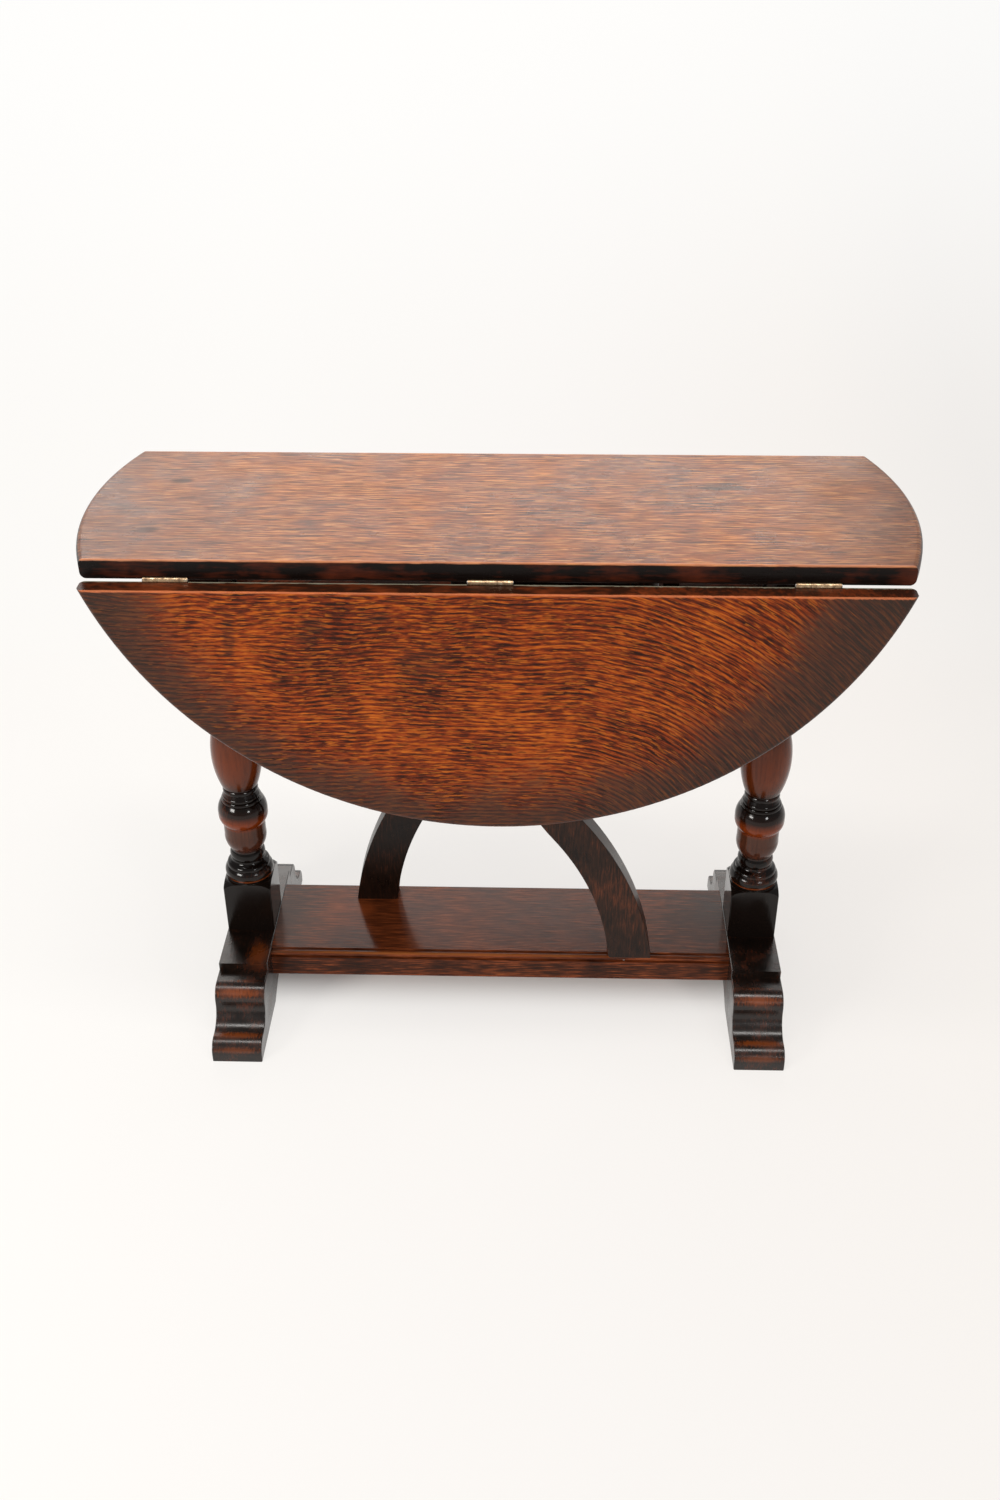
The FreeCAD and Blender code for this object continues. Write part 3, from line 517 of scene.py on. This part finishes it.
postLook = {
    "fibre": (0.045, 0.0022),
    "patch": 0.030,
    # colour by height from the middle of the post, 1 at the square block. Black in the necks is stain;
    # the near-black upper half of the ball is painted shade, its orange lower half painted light from the
    # floor below, and the grey brown of the cup painted reflection
    "stops": [
        (0.00, "#662C10"), (0.12, "#602A10"), (0.20, "#50240E"), (0.255, "#241008"),
        (0.28, "#0E0805"), (0.38, "#120A06"), (0.44, "#22110A"), (0.50, "#742F0C"),
        (0.555, "#64290F"), (0.58, "#4A2A1C"), (0.74, "#442419"), (0.78, "#0E0906"),
        (0.84, "#0C0705"), (0.93, "#100A07"), (0.968, "#180E08"), (0.980, "#7A3A18"),
        (0.990, "#16100C"), (1.04, "#120C09"),
    ],
    "deep": "#120A07",
    "streak": 0.22,
    "rubbed": "#86401A",
    "rubbedShare": 0.25,
    "reach": 1.05,  # the stops' scale goes a little past the block
    "turnedEnd": 0.9,  # of that scale; the block beyond it isn't rubbed
    "waver": 0.002,  # how far a stop's edge wanders up and down
    "streakCut": (0.53, 0.36),
    "rubbedCut": (0.86, 1.10),
    "grainInTone": 0.6,
    "gloss": 0.12,
    "glossSpread": (-0.03, 0.08),
    "specular": 0.26,
    "bump": 0.15,
    "bumpDepth": 0.0002,
}


def postMaterial():
    # turned oak under a high polish: stain fills the hollows, the swells are rubbed to red brown, and
    # on the ball and cup, shade, light from below and reflection are painted by height
    material, tree = newMaterial("turnedOak")
    place = addNode(tree, "TexCoord").outputs["Object"]
    axes = addNode(tree, "SeparateXYZ", {}, {0: place})
    length, width = postLook["fibre"]
    grainPlace = addNode(tree, "Mapping", {"Scale": (1 / width, 1 / width, 1 / length)}, {"Vector": place})
    grain = addNode(tree, "TexNoise", {"Scale": 1.0, "Detail": 3.0, "Roughness": 0.6},
                    {"Vector": grainPlace})
    patch = addNode(tree, "TexNoise", {"Scale": 1 / postLook["patch"], "Detail": 3.0}, {"Vector": place})
    fromMiddle = addNode(tree, "Math", {"operation": "SUBTRACT", 1: table["postMiddle"]},
                         {0: axes.outputs["Z"]})
    fromMiddle = addNode(tree, "Math", {"operation": "ABSOLUTE"}, {0: fromMiddle})
    uneven = addNode(tree, "Math", {"operation": "MULTIPLY_ADD", 1: postLook["waver"],
                                    2: -postLook["waver"] / 2}, {0: patch})
    fromMiddle = addNode(tree, "Math", {"operation": "ADD"}, {0: fromMiddle, 1: uneven})
    reach = postLook["reach"]
    halfTurning = table["postMiddle"] - table["blockTop"]
    height = addNode(tree, "Math", {"operation": "DIVIDE", 1: reach * halfTurning}, {0: fromMiddle})
    stops = [(stop / reach, tint) for stop, tint in postLook["stops"]]
    colour = addNode(tree, "ValToRGB", {"stops": stops}, {"Fac": height})
    low, high = postLook["streakCut"]
    dark = addNode(tree, "MapRange", {"From Min": low, "From Max": high, "To Max": postLook["streak"]},
                   {"Value": grain})
    colour = addNode(tree, "MixRGB", {"Color2": toLinear(postLook["deep"])},
                     {"Fac": dark, "Color1": colour})
    tone = addNode(tree, "Math", {"operation": "MULTIPLY_ADD", 1: postLook["grainInTone"]},
                   {0: grain, 2: patch})
    low, high = postLook["rubbedCut"]
    light = addNode(tree, "MapRange", {"From Min": low, "From Max": high,
                                       "To Max": postLook["rubbedShare"]}, {"Value": tone})
    turned = addNode(tree, "Math", {"operation": "LESS_THAN", 1: postLook["turnedEnd"]}, {0: height})
    light = addNode(tree, "Math", {"operation": "MULTIPLY"}, {0: light, 1: turned})
    colour = addNode(tree, "MixRGB", {"Color2": toLinear(postLook["rubbed"])},
                     {"Fac": light, "Color1": colour})
    low, high = underframe["glossCut"]
    glossier, duller = postLook["glossSpread"]
    gloss = addNode(tree, "MapRange", {"From Min": low, "From Max": high,
                                       "To Min": postLook["gloss"] + glossier,
                                       "To Max": postLook["gloss"] + duller}, {"Value": patch})
    bump = addNode(tree, "Bump", {"Strength": postLook["bump"], "Distance": postLook["bumpDepth"]},
                   {"Height": grain})
    surface = addNode(tree, "BsdfPrincipled", {"Specular IOR Level": postLook["specular"]},
                      {"Base Color": colour, "Roughness": gloss, "Normal": bump})
    addNode(tree, "OutputMaterial", {}, {"Surface": surface})
    return material


def timberMaterial(name, look):
    # sawn and planed oak with a dark polish, worn red in patches, and on the shelf also patches of
    # painted shade and painted sheen; grain gives the size of a fibre along each axis
    material, tree = newMaterial(name)
    place = addNode(tree, "TexCoord").outputs["Object"]
    spread = tuple(1 / size for size in look["grain"])
    grainPlace = addNode(tree, "Mapping", {"Scale": spread}, {"Vector": place})
    grain = addNode(tree, "TexNoise", {"noise_dimensions": "4D", "Scale": 1.0, "Detail": 3.0,
                                       "Roughness": 0.62, "W": look["seed"]}, {"Vector": grainPlace})
    patch = addNode(tree, "TexNoise", {"noise_dimensions": "4D", "Scale": 1 / look["patch"], "Detail": 3.0,
                                       "W": look["seed"] + 2}, {"Vector": place})
    grainShare, patchShare = look["shares"]
    tone = addNode(tree, "Math", {"operation": "MULTIPLY_ADD", 1: grainShare,
                                  2: 0.5 - (grainShare + patchShare) / 2}, {0: grain})
    tone = addNode(tree, "Math", {"operation": "MULTIPLY_ADD", 1: patchShare}, {0: patch, 2: tone})
    colour = addNode(tree, "ValToRGB", {"stops": look["stops"]}, {"Fac": tone})
    folded = addNode(tree, "VectorMath", {"operation": "ABSOLUTE"}, {0: place})
    for centre, reach, wearAndShadeColour, share, everywhere in look["worn"]:
        away = addNode(tree, "Mapping", {"Location": tuple(-c / r for c, r in zip(centre, reach)),
                                         "Scale": tuple(1 / r for r in reach)},
                       {"Vector": folded if everywhere else place})
        away = addNode(tree, "VectorMath", {"operation": "LENGTH"}, {0: away}).outputs["Value"]
        away = addNode(tree, "Math", {"operation": "MULTIPLY_ADD", 1: underframe["wearRag"]},
                       {0: grain, 2: away})
        low, high = underframe["wearCut"]
        wearAndShadeMask = addNode(tree, "MapRange", {"interpolation_type": "SMOOTHSTEP", "From Min": low,
                                          "From Max": high, "To Max": share}, {"Value": away})
        colour = addNode(tree, "MixRGB", {"Color2": toLinear(wearAndShadeColour)}, {"Fac": wearAndShadeMask, "Color1": colour})
    low, high = underframe["glossCut"]
    glossier, duller = underframe["glossSpread"]
    gloss = addNode(tree, "MapRange", {"From Min": low, "From Max": high,
                                       "To Min": look["gloss"] + glossier,
                                       "To Max": look["gloss"] + duller}, {"Value": patch})
    bump = addNode(tree, "Bump", {"Strength": look["bump"], "Distance": underframe["bumpDepth"]},
                   {"Height": grain})
    surface = addNode(tree, "BsdfPrincipled", {"Specular IOR Level": look["specular"]},
                      {"Base Color": colour, "Roughness": gloss, "Normal": bump})
    addNode(tree, "OutputMaterial", {}, {"Surface": surface})
    return material


footLook = {
    "grain": (0.0014, 0.0060, 0.0050), "patch": 0.018, "seed": 2.0,
    "gloss": 0.24, "specular": 0.50, "bump": 0.40,
    "shares": (0.60, 0.55), "stops": [(0.40, "#0F0906"), (0.53, "#1D110B"), (0.66, "#4A2210")],
    "worn": [  # middle, reach, colour and share of a patch, and whether it is at every corner alike
        ((-0.2400, -0.060, 0.066), (0.012, 0.020, 0.006), "#70340F", 0.75, False),
        ((0.2527, 0.0920, 0.055), (0.030, 0.003, 0.004), "#763812", 0.70, True),
        ((0.2527, 0.1025, 0.0515), (0.030, 0.005, 0.007), "#7C3A12", 0.85, True),
        ((0.2527, 0.1290, 0.0200), (0.030, 0.005, 0.005), "#763812", 0.80, True),
        ((0.2527, 0.1410, 0.0130), (0.030, 0.005, 0.004), "#6A3210", 0.70, True),
    ],
}
shelfLook = {
    "grain": (0.022, 0.0013, 0.0016), "patch": 0.080, "seed": 3.0,
    "gloss": 0.15, "specular": 0.13, "bump": 0.25,
    "shares": (0.65, 0.35),
    "stops": [(0.37, "#38190D"), (0.50, "#643018"), (0.60, "#8C4624"), (0.68, "#A45C30")],
    "worn": [
        ((-0.140, 0.013, 0.066), (0.012, 0.012, 0.006), "#8A421F", 0.7, False),
        # a dark band over the shelf's whole front face
        ((0.000, -0.0560, 0.0460), (0.900, 0.0050, 0.0140), "#22140D", 0.80, False),
        ((-0.060, -0.0540, 0.0640), (0.200, 0.0020, 0.0020), "#A8602F", 0.65, False),
        # painted shade: the darker right part of the shelf top, in the hanging leaf's shadow
        ((0.215, -0.010, 0.066), (0.090, 0.090, 0.006), "#2A1810", 0.65, False),
        # painted sheen: a greyer tone on the shelf's left end
        ((-0.225, 0.000, 0.066), (0.050, 0.090, 0.006), "#3C2C24", 0.70, False),
    ],
}
armLook = {
    "grain": (0.0016, 0.0016, 0.014), "patch": 0.040, "seed": 5.0,
    "gloss": 0.30, "specular": 0.20, "bump": 0.25,
    "shares": (0.60, 0.40), "stops": [(0.38, "#170D08"), (0.52, "#2E1A10"), (0.66, "#5A2E1A")],
    "worn": [],
}
# the back arm is the front arm's wood drawn darker: painted shade, for the shadow it stands in under the
# top and the leaf
shadedBackArmLook = dict(armLook, seed=12.0, stops=[(0.38, "#0E0805"), (0.52, "#1C100A"), (0.66, "#3E2014")])
frameLook = {
    "grain": (0.032, 0.0022, 0.0022), "patch": 0.050, "seed": 6.0,
    "gloss": 0.5, "specular": 0.3, "bump": 0.25,
    "shares": (0.60, 0.60), "stops": [(0.36, "#21150F"), (0.50, "#3A2418"), (0.64, "#5B3A26")],
    "worn": [],
}


brassLook = {
    "spot": 0.0045,  # size of a spot of tarnish
    "stops": [(0.36, "#6A5746"), (0.47, "#9C8164"), (0.58, "#C4AA88"), (0.70, "#E4D4B8")],
    "roughCut": (0.35, 0.65),
    "rough": (0.5, 0.25),  # where it is brown and where it is bright
    "bump": 0.25,
    "bumpDepth": 0.0001,
}
steelLook = {
    "spot": 0.0024,
    "dull": ("#4A4642", "#A7A29B"),
    "bright": ("#8F8A84", "#E6E1DA"),
    "stainCut": (0.40, 0.60),
    "rough": 0.36,
}


def brassMaterial():
    # old rolled brass, bright in places and brown where the tarnish stays, in spots at random
    material, tree = newMaterial("agedBrass")
    place = addNode(tree, "TexCoord").outputs["Object"]
    tarnish = addNode(tree, "TexNoise", {"Scale": 1 / brassLook["spot"], "Detail": 4.0, "Roughness": 0.65},
                      {"Vector": place})
    colour = addNode(tree, "ValToRGB", {"stops": brassLook["stops"]}, {"Fac": tarnish})
    low, high = brassLook["roughCut"]
    dull, bright = brassLook["rough"]
    rough = addNode(tree, "MapRange", {"From Min": low, "From Max": high, "To Min": dull, "To Max": bright},
                    {"Value": tarnish})
    bump = addNode(tree, "Bump", {"Strength": brassLook["bump"], "Distance": brassLook["bumpDepth"]},
                   {"Height": tarnish})
    surface = addNode(tree, "BsdfPrincipled", {"Metallic": 1.0},
                      {"Base Color": colour, "Roughness": rough, "Normal": bump})
    addNode(tree, "OutputMaterial", {}, {"Surface": surface})
    return material


def steelMaterial(name, tones):
    # plain steel, greyed by age in small cloudy stains
    material, tree = newMaterial(name)
    place = addNode(tree, "TexCoord").outputs["Object"]
    stain = addNode(tree, "TexNoise", {"Scale": 1 / steelLook["spot"], "Detail": 3.0}, {"Vector": place})
    stops = list(zip(steelLook["stainCut"], tones))
    colour = addNode(tree, "ValToRGB", {"stops": stops}, {"Fac": stain})
    surface = addNode(tree, "BsdfPrincipled", {"Metallic": 1.0, "Roughness": steelLook["rough"]},
                      {"Base Color": colour})
    addNode(tree, "OutputMaterial", {}, {"Surface": surface})
    return material


def dress(material, names):
    for name in names:
        for holder in nodes[name].material_slots:
            holder.material = material


def dressTable():
    sides = ("front", "back")
    hinges = [side + "_" + place + "_hinge_" for side in sides for place in ("left", "middle", "right")]
    screws = [name for name in nodes if name.endswith("_screws")]
    dress(boardMaterial("stainedOakTop", panelLook), ["top_panel"])
    dress(boardMaterial("stainedOakFrontLeaf", leafLook), ["front_leaf"])
    dress(boardMaterial("stainedOakBackLeaf", backLeafLook), ["back_leaf"])
    dress(postMaterial(), ["left_post", "right_post"])
    dress(timberMaterial("stainedOakFeet", footLook), ["left_foot", "right_foot"])
    dress(timberMaterial("stainedOakShelf", shelfLook), ["shelf"])
    dress(timberMaterial("stainedOakFrontArm", armLook), ["front_brace", "front_brace_head"])
    dress(timberMaterial("stainedOakBackArmPaintedShade", shadedBackArmLook), ["back_brace", "back_brace_head"])
    dress(timberMaterial("stainedOakFrame", frameLook),
          ["left_bearer", "right_bearer", "front_rail", "back_rail", "front_ramp_block", "back_ramp_block"])
    dress(timberMaterial("oakDowel", dict(frameLook, grain=(0.0022, 0.0022, 0.030), seed=8.0)),
          [side + "_upper_pivot_pin" for side in sides])
    dress(brassMaterial(), [hinge + part for hinge in hinges for part in ("plate", "flap")])
    dress(steelMaterial("dullSteel", steelLook["dull"]),
          [hinge + "pin" for hinge in hinges] + screws + [side + "_lower_pivot_pin" for side in sides])
    dress(steelMaterial("brightNailSteel", steelLook["bright"]), ["shelf_nails"])
    print("materials on")


placeCamera()
buildStudio()
print("studio built")
dressTable()
bpy.context.scene.view_settings.view_transform = "Standard"
